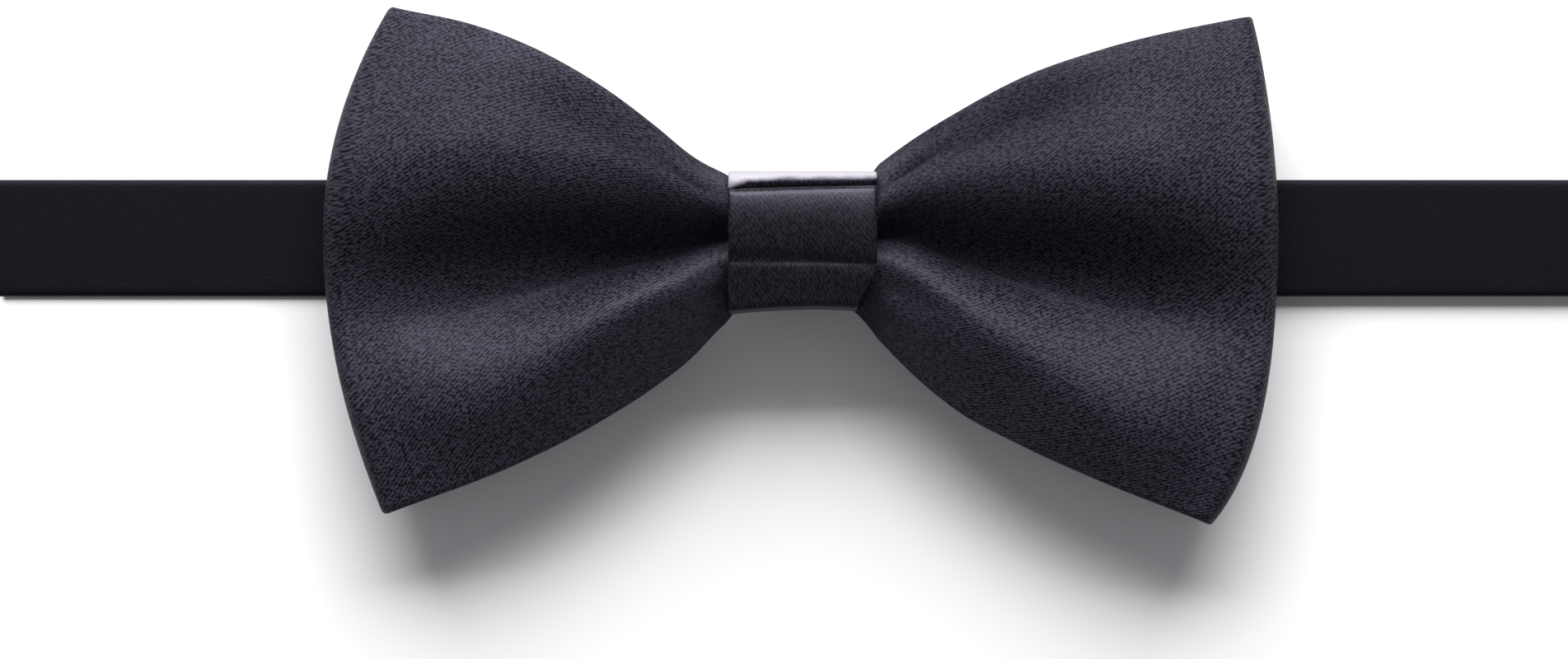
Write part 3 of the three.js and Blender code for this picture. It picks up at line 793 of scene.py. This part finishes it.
# ---- Neck band, left length, and its tack -------------------------------------------
# The same strip of satin, lying flat behind the bow. Its end goes round the eye's bar
# and is closed on itself by a zigzag bar tack in black thread.
BAR_X = 22  # of the hook's and the eye's bars
LOOP_RADIUS = 1.25
LOOP_Z = 1.6
TAIL_Z = 1.25
TAIL_END_X = 41
LEFT_TACK_X = -35
TACK_STITCHES = 13
TACK_HALF_LENGTH = 6.5
TACK_HALF_WIDTH = 0.9


def tack(name, x, z):
    """A bar tack: a close zigzag of thread straight across the band."""
    points = [
        (x + (TACK_HALF_WIDTH if i % 2 else -TACK_HALF_WIDTH), y + BAND_Y, z)
        for i, y in enumerate(np.linspace(-TACK_HALF_LENGTH, TACK_HALF_LENGTH, TACK_STITCHES))
    ]
    return thread(name, points, 0.17)


loop = arc(BAR_X, LOOP_Z, LOOP_RADIUS, -90, -270, 12)
left_path = [(SPLIT_X, BAND_REAR_Z), *loop, (26, 2.1), (29, TAIL_Z), (TAIL_END_X, TAIL_Z)]
left, length = band("band_left", [(-x, z) for x, z in left_path], step=0.8)
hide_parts("neck_band_left")
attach(left, "left_band")
left_tack = tack("left_tack", LEFT_TACK_X, TAIL_Z + BAND_PLY / 2 + 0.23)
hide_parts("eye_bar_tack")
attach(left_tack, "left_band")

# ---- Neck band, right length --------------------------------------------------------
# The same strip of satin, a little off the table, so that it can run through the slider.
# Its running part shortens as the hook's end is moved towards the fold.
RUNNING_Z = 1.3
RUN_END_X = 33
right_path = [
    (SPLIT_X, BAND_REAR_Z),
    (101, 1.2),
    (99.5, RUNNING_Z),
    (RUN_END_X - OVERLAP, RUNNING_Z),
]
right, length = band("band_right", right_path, step=1.2)
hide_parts("neck_band_right", "strap_running_end")
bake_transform(right)

# ---- Strap end loop -----------------------------------------------------------------
# The same strip where it turns round the hook's bar, in a loop that lets the hook swing.
# It has no stitches of its own, because the slider closes it.
RETURN_Z = LOOP_Z + LOOP_RADIUS
end_path = [(RUN_END_X, RUNNING_Z), (28, 0.7), (24.2, BAND_REAR_Z), *loop, (24.4, RETURN_Z)]
end_loop, length = band("strap_loop_end", end_path, step=0.8)
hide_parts("strap_end_loop")
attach(end_loop, "strap_loop")

# ---- Strap return, and its tack -----------------------------------------------------
# The strip comes back from the hook, goes round the slider's middle bar and is closed
# on itself by a zigzag bar tack in black thread.
RETURN_PLY = 0.5
MIDDLE_BAR = (41.6, 2.85)
STRAP_TACK = (34, 3.33)
return_path = [
    (24.2, RETURN_Z),
    (36.5, 2.9),
    (39.6, 3.6),
    *arc(*MIDDLE_BAR, 0.75, 90, -90, 8),
    (40, 2.1),
    (32, 2.1),
]
back, length = band("strap_return_ply", return_path, RETURN_PLY, 0.8)
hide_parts("strap_return")
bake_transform(back)
strap_tack = tack("strap_tack", *STRAP_TACK)
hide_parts("slider_bar_tack")
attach(strap_tack, "slider")

# ---- Eye, hook and slider -----------------------------------------------------------
# Flat fittings pressed from steel strip and nickel plated. Tumbling before the plating
# has rounded every edge.
nickel = bpy.data.materials.new("nickel_plate")
nickel.use_nodes = True
nickel_nodes = nickel.node_tree.nodes
nickel_links = nickel.node_tree.links
nickel_place = nickel_nodes.new("ShaderNodeTexCoord")
scuffs = nickel_nodes.new("ShaderNodeTexNoise")
scuffs.inputs["Scale"].default_value = 700
scuffs.inputs["Detail"].default_value = 8
nickel_links.new(nickel_place.outputs["Object"], scuffs.inputs["Vector"])
nickel_polish = nickel_nodes.new("ShaderNodeMapRange")
nickel_polish.inputs["To Min"].default_value = 0.16
nickel_polish.inputs["To Max"].default_value = 0.42
nickel_links.new(scuffs.outputs["Fac"], nickel_polish.inputs["Value"])
nickel_tone = nickel_nodes.new("ShaderNodeMix")
nickel_tone.data_type = "RGBA"
nickel_tone.inputs[6].default_value = (0.5, 0.49, 0.47, 1)
nickel_tone.inputs[7].default_value = (0.66, 0.65, 0.62, 1)
nickel_links.new(scuffs.outputs["Fac"], nickel_tone.inputs["Factor"])
nickel_relief = nickel_nodes.new("ShaderNodeBump")
nickel_relief.inputs["Strength"].default_value = 0.3
nickel_relief.inputs["Distance"].default_value = 0.02 * MM
nickel_links.new(scuffs.outputs["Fac"], nickel_relief.inputs["Height"])
nickel_shader = nickel_nodes["Principled BSDF"]
nickel_links.new(nickel_tone.outputs[2], nickel_shader.inputs["Base Color"])
nickel_links.new(nickel_polish.outputs["Result"], nickel_shader.inputs["Roughness"])
nickel_links.new(nickel_relief.outputs["Normal"], nickel_shader.inputs["Normal"])
nickel_shader.inputs["Metallic"].default_value = 1

EDGE_ROUNDING = 0.16
for fitting in ("eye", "hook", "slider"):
    pressed = bpy.data.objects[fitting].copy()
    pressed.data = pressed.data.copy()
    pressed.name = f"{fitting}_plate"
    bpy.context.collection.objects.link(pressed)
    bpy.ops.object.select_all(action="DESELECT")
    pressed.select_set(True)
    bpy.context.view_layer.objects.active = pressed
    bpy.ops.object.mode_set(mode="EDIT")
    bpy.ops.mesh.select_all(action="SELECT")
    bpy.ops.mesh.remove_doubles(threshold=0.005 * MM)
    bpy.ops.mesh.dissolve_limited(angle_limit=math.radians(1))
    bpy.ops.object.mode_set(mode="OBJECT")
    rounding = pressed.modifiers.new("rounding", "BEVEL")
    rounding.width = EDGE_ROUNDING * MM
    rounding.segments = 3
    rounding.limit_method = "ANGLE"
    rounding.angle_limit = math.radians(40)
    bpy.ops.object.modifier_apply(modifier="rounding")
    bpy.ops.object.shade_smooth_by_angle(angle=math.radians(35))
    pressed.data.materials.clear()
    pressed.data.materials.append(nickel)
    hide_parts(fitting)
    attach(pressed, fitting)
